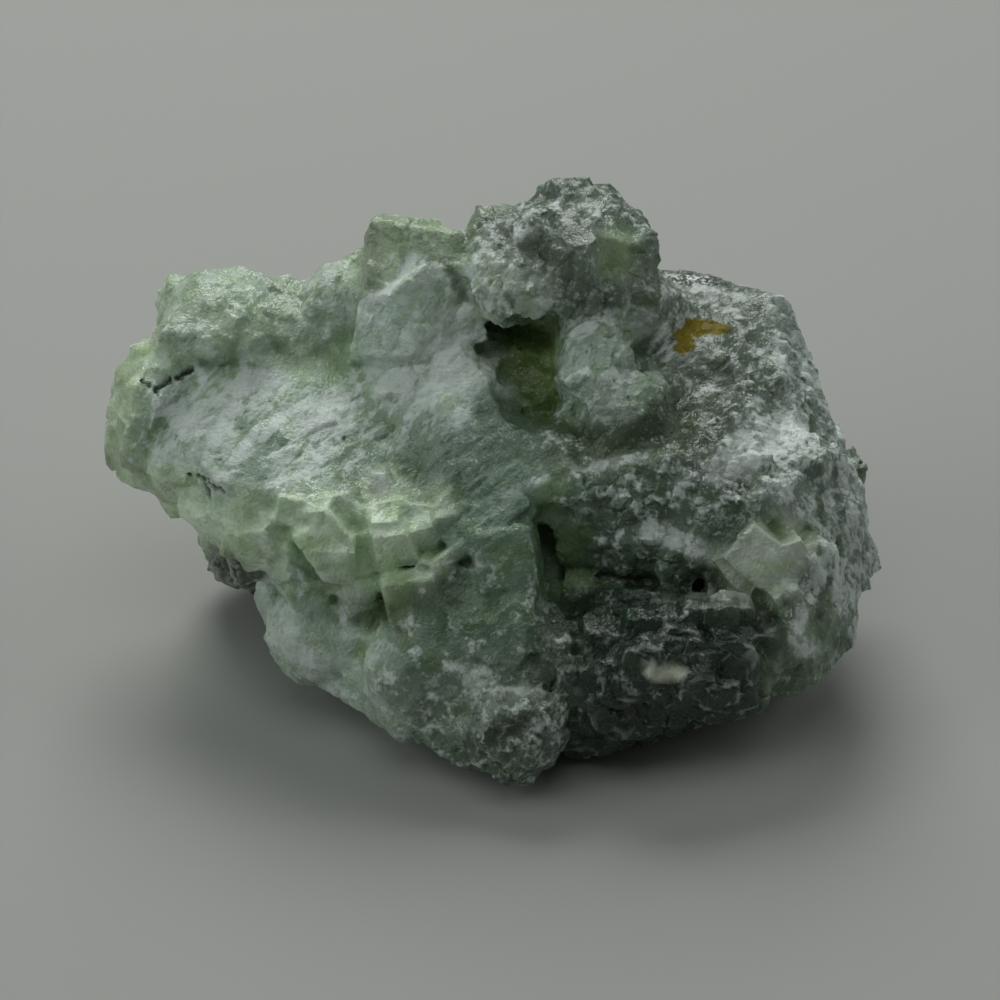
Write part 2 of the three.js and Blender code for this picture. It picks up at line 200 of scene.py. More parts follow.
# %% Point at the regions
SEEN = {
    "rim": [(112, 420), (122, 382), (126, 455), (136, 350), (140, 475), (118, 402), (150, 330)],
    "dome": [(172, 312), (200, 290), (235, 290), (262, 312), (205, 338), (240, 345), (176, 352)],
    "ridge": [(290, 302), (310, 284), (335, 300), (328, 326), (298, 330), (270, 350)],
    "facet": [(318, 358), (298, 366), (340, 350)],
    "frosted face": [
        (175, 415), (200, 400), (250, 392), (300, 402), (340, 402), (230, 440), (290, 440), (335, 440),
        (200, 462), (310, 468), (170, 445), (260, 470), (210, 375),
    ],
    "worn face": [(395, 440), (370, 445), (395, 412), (375, 420), (350, 465), (420, 430)],
    "band": [
        (188, 512), (220, 540), (260, 540), (300, 520), (330, 545), (370, 530), (408, 540), (430, 505),
        (330, 580), (372, 580), (250, 508), (425, 565), (182, 486), (390, 490), (345, 505),
    ],
    "front block": [(380, 330), (400, 300), (432, 292), (368, 360), (425, 330)],
    "rear block": [(382, 240), (402, 225), (428, 242), (375, 270)],
    "notch": [(457, 268), (461, 300)],
    "knob": [
        (490, 240), (520, 220), (560, 202), (600, 206), (642, 236), (652, 262), (542, 258), (578, 248),
        (570, 290), (600, 300), (640, 300),
    ],
    "knob foot": [(500, 290), (530, 300), (480, 312), (485, 280), (515, 318), (545, 285)],
    "pit": [(618, 260)],
    "cavity": [(530, 345), (538, 370), (530, 400), (546, 335)],
    "saddle": [(452, 345), (430, 367), (402, 387), (480, 362), (455, 392), (378, 396), (497, 392)],
    "fan": [(440, 455), (480, 420), (505, 440), (470, 470), (525, 445), (410, 470), (500, 405)],
    "fan foot": [(500, 492), (490, 528), (462, 528), (515, 505), (452, 560), (470, 505), (525, 475)],
    "recess": [(560, 520), (548, 552), (572, 562), (542, 490)],
    "boss": [(590, 340), (620, 330), (600, 370), (640, 372), (580, 402), (620, 412), (572, 340)],
    "right rim": [(680, 300), (700, 326), (750, 302), (778, 330), (690, 282), (730, 282), (668, 345)],
    "right top": [(720, 372), (685, 390), (755, 385), (725, 425), (735, 350), (700, 440), (745, 450)],
    "olive side": [(620, 440), (590, 447), (650, 440), (690, 428), (560, 432), (670, 412), (545, 450)],
    "flank": [
        (800, 352), (820, 402), (792, 422), (840, 452), (800, 482), (860, 502), (822, 542), (868, 560),
        (845, 600), (810, 580), (770, 470), (760, 440), (790, 310),
    ],
    "front": [
        (580, 500), (620, 490), (662, 482), (700, 500), (640, 530), (690, 540), (600, 552), (650, 562),
        (725, 530), (740, 500),
    ],
    "notched plate": [(760, 562), (775, 577), (742, 562), (786, 562), (765, 540)],
    "scales": [
        (590, 602), (640, 602), (700, 602), (600, 642), (660, 642), (720, 642), (620, 690), (680, 700),
        (740, 690), (575, 680), (760, 645), (590, 715),
    ],
    "flange": [(800, 622), (830, 642), (852, 655), (810, 662), (782, 665), (815, 688)],
    "low lobe": [
        (262, 602), (290, 620), (330, 650), (270, 640), (300, 672), (350, 702), (390, 722), (370, 650),
        (330, 602), (300, 592),
    ],
    "slab": [
        (432, 602), (460, 620), (500, 602), (490, 632), (530, 622), (430, 650), (450, 582), (520, 582),
    ],
    "crevice": [(390, 600), (372, 605), (410, 602)],
    "lobe middle": [(440, 690), (420, 728), (468, 676), (450, 725), (400, 680), (480, 705), (500, 680)],
    "tip": [(520, 695), (545, 702), (490, 742), (520, 768), (550, 742), (565, 702), (560, 655), (470, 752)],
    # This foot lies in the shade under the left mass; it is partly dark olive and partly painted shade.
    "shaded foot": [(200, 555), (232, 570)],
}
HIDDEN = {
    "rim": [(-29, 14, 18), (-28, 8, 11)],
    "dome": [(-23, 19, 24), (-17, 19, 26)],
    "pale back": [(-22, 18, 15), (-14, 22, 20), (-14, 18, 28), (-6, 26, 22), (-24, 14, 8), (-4, 21, 30)],
    "dark back": [
        (2, 26, 14), (8, 26, 22), (16, 25, 18), (24, 20, 20), (27, 14, 12), (20, 22, 8), (6, 24, 4),
        (-10, 20, 6), (30, 8, 10), (12, 22, 28),
    ],
    "flank": [(33, 2, 14), (31, 8, 20), (27, 14, 25)],
    "under": [(-14, 4, 0), (-4, -6, 0), (6, 4, 0), (16, -2, 0), (20, 10, 0), (-2, 14, 0), (-20, 8, 4)],
}


PICTURE = 1000
MIDDLE = 500


def seen(across, down):
    """The place on the stone that shows at a pixel of the view."""
    aim = Vector(((across - MIDDLE) / PICTURE, (MIDDLE - down) / PICTURE, -LENS / SENSOR))
    eye = camera.matrix_world
    found, place, _, _ = stone.ray_cast(eye.translation, (eye.to_3x3() @ aim).normalized())
    if not found:
        print("nothing shows at", across, down)
    return place if found else None


spots = []
spot_regions = []
for region, pixels in SEEN.items():
    for pixel in pixels:
        place = seen(*pixel)
        if place:
            spots.append(place)
            spot_regions.append(region)
for region, places in HIDDEN.items():
    for place in places:
        spots.append(spot(*place))
        spot_regions.append(region)
spots = np.array(spots)
NAMES = list(dict.fromkeys(spot_regions))
print(len(spots), "spots in", len(NAMES), "regions")

# %% [markdown]
# Any point of the stone belongs to the region of its nearest spot. The border is frayed with noise, and it
# is soft over a millimetre or so, and no region ends in a straight line. The noise is seeded first, or
# Blender would seed it by the clock and every run would grow other crystals.

# %% How much of each region a point has
NOISE_SEED = 7
FRAY = 1.3 * MM
WAVES = (4.0 * MM, 1.3 * MM)
SOFTNESS = 0.7 * MM
GROUP_ROWS = 20000
seed_set(NOISE_SEED)


def shares(points):
    """For every point, its share in each region by name. The shares of a point add up to 1."""
    frayed = points.copy()
    for size in WAVES:
        push = np.array([noise_vector(Vector(point / size)) for point in points])
        frayed += push * FRAY * (size / WAVES[0])
    owner = np.array([NAMES.index(region) for region in spot_regions])
    table = np.zeros((len(points), len(NAMES)))
    for start in range(0, len(points), GROUP_ROWS):
        rows = slice(start, start + GROUP_ROWS)
        away = np.linalg.norm(frayed[rows, None, :] - spots[None], axis=2)
        pull = np.exp(-(away - away.min(axis=1, keepdims=True)) / SOFTNESS)
        for index in range(len(NAMES)):
            table[rows, index] = pull[:, owner == index].sum(axis=1)
    table /= table.sum(axis=1, keepdims=True)
    return {name: table[:, index] for index, name in enumerate(NAMES)}


# %% [markdown]
# Prehnite grows as square tablets. One tablet, one blade and one scale are modelled, each one unit across,
# and every large crystal on the stone is a turned and scaled copy of one of them.

# %% Model one tablet, one blade and one scale


def crystal(name, size, taper, bevel, segments, upright_only=False):
    """A small crystal: a block whose outer face is drawn in, with its edges taken off."""
    deselect()
    bpy.ops.mesh.primitive_cube_add(size=1, location=(0, 0, 0))
    made = bpy.context.object
    made.name = name
    bpy.ops.object.mode_set(mode="EDIT")
    bpy.ops.mesh.select_all(action="SELECT")
    bpy.ops.transform.resize(value=size)
    bpy.ops.mesh.select_all(action="DESELECT")
    bpy.ops.object.mode_set(mode="OBJECT")
    for corner in made.data.vertices:
        corner.select = corner.co.z > 0
    bpy.ops.object.mode_set(mode="EDIT")
    bpy.ops.transform.resize(value=taper)
    bpy.ops.mesh.select_all(action="DESELECT")
    bpy.ops.object.mode_set(mode="OBJECT")
    for edge in made.data.edges:
        first, second = (made.data.vertices[index].co for index in edge.vertices)
        upright = abs(first.z - second.z) > size[2] / 2
        edge.select = upright or (not upright_only and min(first.z, second.z) > 0)
    bpy.ops.object.mode_set(mode="EDIT")
    bpy.ops.mesh.select_mode(type="EDGE")
    bpy.ops.mesh.bevel(offset=bevel, segments=segments)
    bpy.ops.object.mode_set(mode="OBJECT")
    return made


tablet = crystal("tablet", (1, 1, 0.9), (0.86, 0.86, 1), 0.04, 1)
blade = crystal("blade", (0.24, 1, 0.7), (0.5, 0.94, 1), 0.02, 1)
scale = crystal("scale", (1, 1, 0.6), (0.9, 0.9, 1), 0.24, 2, upright_only=True)
print("tablet", len(tablet.data.polygons), "faces, scale", len(scale.data.polygons), "faces")

# %% [markdown]
# The crystals that can be told apart in the photograph are set one by one: where each shows, its width and
# height in millimetres, how far it is turned, and which way it faces.

# %% Set the large crystals
BAND_OUT = (0, -0.93, 0.36)
SLAB_OUT = (-0.02, -0.74, 0.67)
STANDING = 0.6
LARGE = [
    # kind, pixel across and down, width, height, turn in degrees, facing, how far it stands proud
    (tablet, 190, 505, 3.4, 3.2, 16, (-0.62, -0.75, 0.25), 0.5),
    (tablet, 196, 535, 3.4, 3.4, 8, (-0.55, -0.82, 0.15), 0.6),
    (tablet, 222, 508, 3.0, 3.2, -12, (-0.35, -0.85, 0.4), 0.5),
    (tablet, 238, 544, 3.4, 3.6, -6, (-0.3, -0.93, 0.2), 0.7),
    (tablet, 258, 514, 3.2, 3.0, 20, (-0.15, -0.85, 0.5), 0.5),
    (tablet, 278, 546, 3.2, 3.6, 5, (-0.12, -0.96, 0.22), 0.6),
    (tablet, 292, 512, 3.4, 2.8, -14, (0.05, -0.82, 0.56), 0.5),
    (tablet, 323, 540, 4.6, 4.2, 36, (-0.05, -0.9, 0.42), 1.1),
    (tablet, 340, 508, 2.8, 2.8, 12, (0.1, -0.84, 0.52), 0.5),
    (tablet, 372, 556, 4.0, 3.0, 14, BAND_OUT, 0.9),
    (tablet, 374, 522, 3.2, 3.0, -8, (-0.1, -0.84, 0.5), 0.5),
    (tablet, 418, 560, 4.2, 4.8, 10, (0.2, -0.94, 0.26), 0.7),
    (tablet, 412, 520, 3.4, 3.4, -16, (0.12, -0.86, 0.48), 0.4),
    (tablet, 318, 577, 3.8, 2.8, 18, (-0.1, -0.97, 0.12), 0.5),
    (tablet, 357, 590, 3.6, 2.4, -6, (0, -0.97, 0.1), 0.5),
    (tablet, 380, 488, 1.4, 3.2, -6, (0.1, -0.8, 0.6), 0.4),
    (tablet, 176, 470, 3.0, 2.8, 24, (-0.6, -0.6, 0.5), 0.4),
    (tablet, 474, 628, 3.4, 4.0, 24, SLAB_OUT, 0.5),
    (tablet, 512, 622, 4.0, 3.4, 34, (0.05, -0.8, 0.6), 0.7),
    (scale, 552, 622, 3.0, 3.6, 20, (0.3, -0.85, 0.45), 0.6),
    (scale, 560, 652, 3.0, 2.8, -10, (0.3, -0.9, 0.25), 0.5),
    (tablet, 757, 555, 4.9, 5.2, 49, (0.02, -0.88, 0.46), 1.9),
    (tablet, 779, 566, 3.6, 4.6, 46, (0.10, -0.88, 0.45), 1.5),
    (blade, 803, 618, 9.0, 7.0, 14, (0.35, -0.9, 0.2), 1.3),
    (blade, 786, 622, 8.0, 6.0, 18, (0.2, -0.92, 0.2), 0.9),
    (tablet, 803, 648, 3.4, 3.0, 6, (0.35, -0.92, 0.1), 1.1),
    (blade, 833, 578, 9.0, 8.0, 8, (0.6, -0.76, 0.2), 0.9),
    (blade, 820, 590, 9.0, 8.0, 12, (0.5, -0.84, 0.2), 1.2),
    (scale, 668, 672, 3.8, 1.9, -6, (0, -0.92, 0.35), 0.8),
    (tablet, 392, 604, 6.0, 5.0, 4, (0.0, -0.95, 0.25), 2.2),
    (tablet, 372, 604, 6.0, 5.0, -8, (0.0, -0.95, 0.25), 1.8),
    (tablet, 412, 600, 5.0, 5.0, 8, (0.0, -0.95, 0.25), 2.2),
    (tablet, 526, 552, 6.5, 7.0, 14, (0.15, -0.8, 0.58), 4.0),
    (tablet, 538, 540, 7.0, 8.0, -20, (0.1, -0.78, 0.62), 6.5),
    (tablet, 505, 560, 6.0, 6.0, 8, (0.0, -0.8, 0.6), 5.0),
    (blade, 482, 533, 10.0, 10.0, -58, (0.1, -0.75, 0.65), 0.9),
    (blade, 500, 545, 8.0, 9.0, -50, (0.15, -0.75, 0.65), 1.0),
    (tablet, 455, 318, 5.0, 6.0, 16, (0.1, -0.85, 0.5), 3.5),
    (tablet, 458, 290, 5.0, 6.0, 8, (0.1, -0.85, 0.5), 3.0),
    (tablet, 434, 256, 5.0, 5.0, -12, (0.15, -0.75, 0.65), 2.6),
    (tablet, 448, 252, 3.6, 4.4, 18, (0.2, -0.75, 0.6), 2.6),
    (tablet, 388, 325, 6.0, 6.4, 12, (-0.25, -0.8, 0.55), 1.5),
    (tablet, 422, 302, 5.2, 6.0, 28, (0.25, -0.8, 0.5), 1.5),
    (tablet, 386, 250, 4.6, 6.0, 4, (-0.4, -0.75, 0.5), 1.2),
    (tablet, 418, 242, 4.4, 5.0, -12, (0.2, -0.75, 0.6), 1.2),
    (tablet, 318, 352, 4.8, 3.6, -24, (0.2, -0.7, 0.66), 0.3),
]


def stand(place, out, turn):
    """A frame of axes at a place: Z points out, X is level before it is turned by some degrees."""
    out = Vector(out).normalized()
    side = Vector((0, 0, 1)).cross(out).normalized()
    axes = Matrix((side, out.cross(side), out)).transposed()
    return Matrix.Translation(place) @ (Matrix.Rotation(math.radians(turn), 3, out) @ axes).to_4x4()


grown = []


def grow(kind, place, out, turn, width, height, thick, proud):
    """Copies a crystal to a place and leaves only its outer part standing out of the stone."""
    axes = stand(place, out, turn)
    depth = thick * kind.dimensions.z / kind.dimensions.y
    size = Matrix.Diagonal((width, height, thick, 1)) * MM
    size[3][3] = 1
    copy = kind.copy()
    copy.data = kind.data.copy()
    copy.matrix_world = axes @ Matrix.Translation((0, 0, (proud - depth / 2) * MM)) @ size
    bpy.context.scene.collection.objects.link(copy)
    grown.append(copy)


for kind, across, down, width, height, turn, out, proud in LARGE:
    place = seen(across, down)
    if place:
        grow(kind, place, out, turn, width, height, max(width, height), proud * STANDING)
print("large crystals", len(grown))

# %% [markdown]
# The smaller crystals are sown on the solid's faces. A face is chosen by its area, so that they are evenly
# spread, and each region has its own kind, size and lean. The dice are seeded, so every run is the same.

# %% Sow the small crystals
stone.data.calc_loop_triangles()
corner_places = np.array([vertex.co for vertex in stone.data.vertices])
triangles = np.array([list(triangle.vertices) for triangle in stone.data.loop_triangles])
triangle_corners = corner_places[triangles]
first_sides = triangle_corners[:, 1] - triangle_corners[:, 0]
second_sides = triangle_corners[:, 2] - triangle_corners[:, 0]
cross = np.cross(first_sides, second_sides)
triangle_areas = np.linalg.norm(cross, axis=1) / 2
triangle_normals = cross / np.maximum(2 * triangle_areas, 1e-12)[:, None]
triangle_shares = shares(triangle_corners.mean(axis=1))


FACING = 0.6
WIDTHS = (0.65, 1.35)
HEIGHTS = (0.8, 1.25)
STANDS = (0.2, 1.4)


def sow(kind, region, count, size, proud=0.4, lean=0.2, twist=30, turn=0, face=None, seed=0):
    """Grows a number of crystals on the stone's faces in a region. Size is their middle width in mm.

    They face out of the stone, or all the same way where a face is given, on the faces turned that way.
    """
    dice = np.random.RandomState(seed)
    weight = triangle_areas * triangle_shares[region]
    if face:
        weight = weight * (triangle_normals @ np.array(Vector(face).normalized()) > FACING)
    for index in dice.choice(len(weight), size=count, p=weight / weight.sum()):
        a, b = sorted(dice.rand(2))
        corners = triangle_corners[index]
        place = Vector(corners[0] * a + corners[1] * (b - a) + corners[2] * (1 - b))
        out = Vector(face or triangle_normals[index]).normalized() + Vector(dice.uniform(-lean, lean, 3))
        width = size * dice.uniform(*WIDTHS)
        height = width * dice.uniform(*HEIGHTS)
        stands = proud * dice.uniform(*STANDS)
        grow(kind, place, out, turn + dice.uniform(-twist, twist), width, height, width, stands)


sow(tablet, "rim", 36, 2.8, proud=0.2, lean=0.12, seed=1)
sow(tablet, "dome", 50, 2.2, proud=0.08, lean=0.12, seed=2)
sow(tablet, "ridge", 14, 2.8, proud=0.2, lean=0.12, seed=3)
sow(tablet, "band", 40, 2.8, proud=0.15, lean=0.1, twist=20, seed=4)
sow(tablet, "knob", 46, 3.0, proud=0.15, lean=0.3, twist=90, seed=6)
sow(scale, "scales", 64, 3.4, proud=0.7, lean=0.1, twist=14, face=(0.1, -0.9, 0.15), seed=11)
sow(tablet, "scales", 20, 2.8, proud=0.3, lean=0.1, twist=14, face=(0.1, -0.9, 0.15), seed=12)
sow(blade, "flank", 24, 3.4, proud=0.06, lean=0.05, twist=6, turn=8, face=(0.75, -0.55, 0.35), seed=8)
sow(tablet, "front", 16, 2.4, proud=0.2, lean=0.3, twist=90, seed=10)
sow(tablet, "tip", 20, 2.4, proud=0.2, lean=0.25, twist=60, seed=13)
sow(tablet, "boss", 30, 2.4, proud=0.25, lean=0.2, twist=60, seed=14)
sow(tablet, "pale back", 50, 3.4, proud=0.3, lean=0.2, twist=60, seed=15)
sow(tablet, "dark back", 60, 2.8, proud=0.05, lean=0.25, twist=90, seed=16)
print("crystals in all", len(grown))

pick(stone, *grown)
bpy.ops.object.join()
pick(tablet, blade, scale)
bpy.ops.object.delete()

# %% [markdown]
# A voxel remesh melts the solid and all its crystals into one closed skin of even faces, which the next
# steps can push about.

# %% Melt everything into one skin
VOXEL = 0.25 * MM
pick(stone)
remesh = stone.modifiers.new("one skin", "REMESH")
remesh.mode = "VOXEL"
remesh.voxel_size = VOXEL
bpy.ops.object.modifier_apply(modifier=remesh.name)
print("one skin", len(stone.data.polygons), "faces")

# %% [markdown]
# Some steps need every point of the skin at once. These helpers read them as arrays, and average a value
# over each point's neighbours, which is how a smooth copy of anything on the skin is made.

# %% Read and smooth what is on the skin


def read(items, key, width=3, kind=np.float64):
    """One property of all vertices or edges, as an array with a row for each."""
    flat = np.empty(len(items) * width, dtype=kind)
    items.foreach_get(key, flat)
    return flat.reshape(-1, width)


def neighbours():
    """Every pair of vertices that share an edge, both ways round."""
    pairs = read(stone.data.edges, "vertices", 2, np.int64)
    return np.vstack([pairs, pairs[:, ::-1]])


def smoothed(values, pairs, rounds):
    """The values, each averaged with its neighbours' that many times."""
    start, end = pairs[:, 0], pairs[:, 1]
    count = np.maximum(np.bincount(start, minlength=len(values)), 1)[:, None]
    for _ in range(rounds):
        columns = [np.bincount(start, values[end, k], len(values)) for k in range(values.shape[1])]
        values = 0.5 * values + 0.5 * np.stack(columns, 1) / count
    return values


# %% [markdown]
# Thousands of small crystals are too many to place one by one. Instead, space is packed with slightly
# shuffled square cells, and the skin inside each cell is lifted and tilted as one flat crystal face. Cells
# drawn out along a direction become plates or fibres. The lift fades at a cell's border, so every crystal
# has a groove round it and the skin never tears.

# %% Pack space with crystal cells
CELL_DICE = np.random.RandomState(7).rand(4096, 7)
CELL_PRIMES = np.array([73856093, 19349663, 83492791])
CELL_MARGIN = 0.15
CELL_SHUFFLE = 0.7
LEVEL = Vector((0.31, 0.52, 0.80))
FAR = 9.0


def cells(points, size, grain, stretch, seed):
    """Each point's cell: how far its border is, its row of dice, and the offset from its middle."""
    along = Vector(grain).normalized()
    side = along.cross(LEVEL).normalized()
    axes = np.array([side, along, side.cross(along)])
    place = points / MM @ axes.T / size
    place[:, 1] /= stretch
    corner = np.floor(place).astype(np.int64)
    nearest = np.full(len(points), FAR)
    second = nearest.copy()
    chosen = np.zeros(len(points), dtype=np.int64)
    offset = np.zeros_like(place)
    for step in np.ndindex(3, 3, 3):
        cell = corner + np.array(step) - 1
        number = (cell @ CELL_PRIMES + seed * 977) % len(CELL_DICE)
        away = place - cell - CELL_MARGIN - CELL_SHUFFLE * CELL_DICE[number, :3]
        reach = np.abs(away).max(axis=1)
        closer = reach < nearest
        second = np.where(closer, nearest, np.minimum(second, reach))
        nearest = np.minimum(nearest, reach)
        chosen = np.where(closer, number, chosen)
        offset = np.where(closer[:, None], away, offset)
    return second - nearest, chosen, offset


# %% [markdown]
# Each layer of crystals has a size, a direction and a height in every region. The knob is coarse, the
# frosted face is a fine rubble, the fan and the flank are fibrous, and the dark lobe is shingled.

# %% The layers of small crystals
RISING = (0.75, 0.30, 0.58)
ACROSS = (0.80, 0.58, 0.12)
STEEP = (0.14, -0.36, 0.92)
LAYERS = [
    # size in mm, grain, stretch, tilt, height in mm by region
    (2.7, (0.15, 0.1, 1), 1.0, 0.8, {
        "rim": 0.2, "dome": 0.12, "ridge": 0.18, "band": 0.12, "front block": 0.22, "rear block": 0.16,
        "pale back": 0.35, "dark back": 0.35, "under": 0.3, "shaded foot": 0.3, "low lobe": 0.12,
        "flange": 0.2, "boss": 0.15,
    }),
    (1.7, (0.4, 0.2, 0.9), 1.2, 1.2, {
        "knob": 0.22, "knob foot": 0.25, "pit": 0.08, "dome": 0.12, "front": 0.26, "tip": 0.28,
        "lobe middle": 0.16, "boss": 0.2, "notch": 0.25, "dark back": 0.16, "right top": 0.08,
        "recess": 0.15, "shaded foot": 0.2,
    }),
    (1.9, ACROSS, 2.0, 0.9, {"frosted face": 0.17, "worn face": 0.14, "saddle": 0.24, "ridge": 0.1}),
    (1.6, RISING, 2.8, 1.0, {"right top": 0.2, "right rim": 0.15, "olive side": 0.14, "boss": 0.1}),
    (1.0, RISING, 9.0, 0.8, {"fan": 0.16, "fan foot": 0.18, "saddle": 0.08}),
    (1.1, STEEP, 7.0, 1.0, {"flank": 0.24, "flange": 0.16, "cavity": 0.15}),
    (2.6, (0.1, -0.2, 1), 1.0, 2.0, {"scales": 0.26}),
    (0.85, (0.5, 0.4, 0.7), 1.3, 1.2, {
        "rim": 0.04, "dome": 0.06, "ridge": 0.07, "frosted face": 0.09, "worn face": 0.07, "band": 0.02,
        "front block": 0.08, "rear block": 0.06, "saddle": 0.08, "knob": 0.06, "knob foot": 0.14,
        "right top": 0.06, "right rim": 0.05, "olive side": 0.04, "boss": 0.07, "front": 0.07,
        "scales": 0.02, "tip": 0.12, "lobe middle": 0.08, "flank": 0.04, "low lobe": 0.08, "slab": 0.03,
        "pale back": 0.06, "dark back": 0.09, "under": 0.1, "shaded foot": 0.1, "notch": 0.1,
        "flange": 0.05, "fan": 0.02,
    }),
]
GROOVE = 0.34
GROOVE_GROWTH = 0.55
print(len(LAYERS), "layers of crystals, from", min(layer[0] for layer in LAYERS), "mm")

# %% [markdown]
# The solid's faces are too flat for a stone and its corners too crisp. A slow cloud first swells the skin
# by under half a millimetre. Then each region is worn down: the skin is mixed with a smooth copy of itself,
# by a different share in each region.

# %% Wear the corners down
WEAR_ROUNDS = 60
WAY_ROUNDS = 6
SWELL_SIZE = 4.5 * MM
SWELL_HEIGHT = 0.9 * MM
SWELL_MIDDLE = 0.55
WORN = {
    "rim": 0.5, "dome": 0.75, "ridge": 0.6, "facet": 0.4, "frosted face": 0.4, "worn face": 0.4,
    "band": 0.08, "front block": 0.15, "rear block": 0.6, "knob": 0.45, "knob foot": 0.3, "saddle": 0.3,
    "fan": 0.25,
    "fan foot": 0.15, "boss": 0.5, "right rim": 0.9, "right top": 0.6, "olive side": 0.6, "flank": 0.6,
    "front": 0.3, "flange": 0.4, "low lobe": 0.45, "lobe middle": 0.4, "slab": 0.1, "tip": 0.4,
    "pale back": 0.5, "dark back": 0.6, "scales": 0.1,
}

swells = bpy.data.textures.new("swells", "CLOUDS")
swells.noise_scale = SWELL_SIZE
swells.noise_depth = 1
pick(stone)
displace = stone.modifiers.new("swells", "DISPLACE")
displace.texture = swells
displace.strength = SWELL_HEIGHT
displace.mid_level = SWELL_MIDDLE
displace.texture_coords = "LOCAL"
bpy.ops.object.modifier_apply(modifier=displace.name)

points = read(stone.data.vertices, "co")
pairs = neighbours()
ways = smoothed(read(stone.data.vertices, "normal"), pairs, WAY_ROUNDS)
ways /= np.maximum(np.linalg.norm(ways, axis=1), 1e-9)[:, None]
region_shares = shares(points)
worn = sum(region_shares[region] * amount for region, amount in WORN.items())[:, None]
points = points * (1 - worn) + smoothed(points, pairs, WEAR_ROUNDS) * worn
print("worn down by up to", round(float(worn.max()), 2))

# %% [markdown]
# On the worn skin every layer lifts its crystals along the smoothed normals. A crystal's own height and
# tone come from its cell's dice, and its border is kept as the crystal's edge.

# %% Lift the crystals
LOWEST = 0.35
COVERED = 0.3
COARSE = 1.3
FINE_TONE = 0.5
FINE_EDGE = 0.4


def set_skin(moved):
    """Moves every vertex of the skin to its new place."""
    stone.data.vertices.foreach_set("co", moved.ravel())
    stone.data.update()


lift = np.zeros(len(points))
tone = np.zeros(len(points))
edge = np.zeros(len(points))
for number, (size, grain, stretch, tilt, heights) in enumerate(LAYERS):
    border, chosen, offset = cells(points, size, grain, stretch, number)
    plateau = np.clip(border * size / GROOVE / max(1.0, size * GROOVE_GROWTH), 0, 1)
    plateau = plateau * plateau * (3 - 2 * plateau)
    slope = (offset * (CELL_DICE[chosen, 4:7] - 0.5) * 2).sum(axis=1)
    height = sum(region_shares[region] * amount for region, amount in heights.items())
    own = CELL_DICE[chosen, 3]
    lift += height * (plateau * (LOWEST + (1 - LOWEST) * own + tilt * slope) - 0.5)
    cover = np.clip(height / COVERED, 0, 1)
    tone += cover * (own - 0.5) * (1.0 if size > COARSE else FINE_TONE)
    edge += cover * (1 - plateau) * (1.0 if size > COARSE else FINE_EDGE)
points += ways * (lift * MM)[:, None]
set_skin(points)
print("lift", round(float(lift.min()), 2), "to", round(float(lift.max()), 2), "mm")

# %% [markdown]
# What the material needs to know about the crystals is stored on the skin now, before the skin is thinned,
# because thinning moves the points but carries their values along.

# %% Store the crystals' own tones


def keep(name, kind, values):
    """Stores one value a vertex on the stone, for the material to read."""
    attribute = stone.data.attributes.new(name, kind, "POINT")
    key = {"FLOAT": "value", "FLOAT_COLOR": "color"}[kind]
    attribute.data.foreach_set(key, np.ascontiguousarray(values, dtype=np.float32).ravel())


keep("tone", "FLOAT", tone)
keep("edge", "FLOAT", edge)

# %% [markdown]
# A few dark cracks cross the pale mass. Each is a line of pixels in the view, found on the stone as the
# regions were. A real crack wanders and breaks off, so the dice shift its points, change its width from
# step to step and leave some steps out. The skin along it is pressed in.

# %% Press in the cracks
CRACKS = [
    [
        (143, 379), (148, 384), (153, 386), (157, 394), (161, 386), (168, 382), (173, 377), (180, 376),
        (191, 370),
    ],
    [(187, 474), (193, 476), (198, 475), (203, 482), (206, 488), (210, 491), (209, 504)],
    [(200, 477), (208, 480), (212, 486), (219, 489), (225, 493)],
    [(218, 459), (220, 463)],
    [(343, 434), (345, 440)],
]
CRACK_STEPS = 3
CRACK_WANDER = 1.3
CRACK_WIDTH = 0.12 * MM
CRACK_DEPTH = 0.3 * MM
CRACK_WIDTHS = (0.4, 1.3)
CRACK_KEPT = 0.75
CRACK_REACH = 1.9


def wander(line, dice):
    """A finer line through the same pixels, with every point shifted a little."""
    ends = np.array(line, dtype=float)
    steps = np.linspace(0, len(ends) - 1, CRACK_STEPS * (len(ends) - 1) + 1)
    path = np.stack([np.interp(steps, range(len(ends)), ends[:, axis]) for axis in (0, 1)], axis=1)
    return path + dice.uniform(-CRACK_WANDER, CRACK_WANDER, path.shape)


def from_line(start, end):
    """How far every point of the skin is from a straight line between two places."""
    reach = end - start
    part = np.clip((points - start) @ reach / max(reach @ reach, 1e-12), 0, 1)
    return np.linalg.norm(points - start - part[:, None] * reach, axis=1)


crack = np.zeros(len(points))
crack_dice = np.random.RandomState(5)
for line in CRACKS:
    marks = [np.array(seen(*pixel)) for pixel in wander(line, crack_dice)]
    for start, end in zip(marks, marks[1:]):
        width = CRACK_WIDTH * crack_dice.uniform(*CRACK_WIDTHS)
        if crack_dice.rand() < CRACK_KEPT:
            crack = np.maximum(crack, np.clip(CRACK_REACH - from_line(start, end) / width, 0, 1))
points -= ways * (crack * CRACK_DEPTH)[:, None]
set_skin(points)
keep("crack", "FLOAT", crack)
print(int((crack > 0).sum()), "points in the cracks")

# %% [markdown]
# The skin has more triangles than one piece should, so it is thinned, which keeps edges and saves on
# flats. Last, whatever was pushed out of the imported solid's box is set back into it.

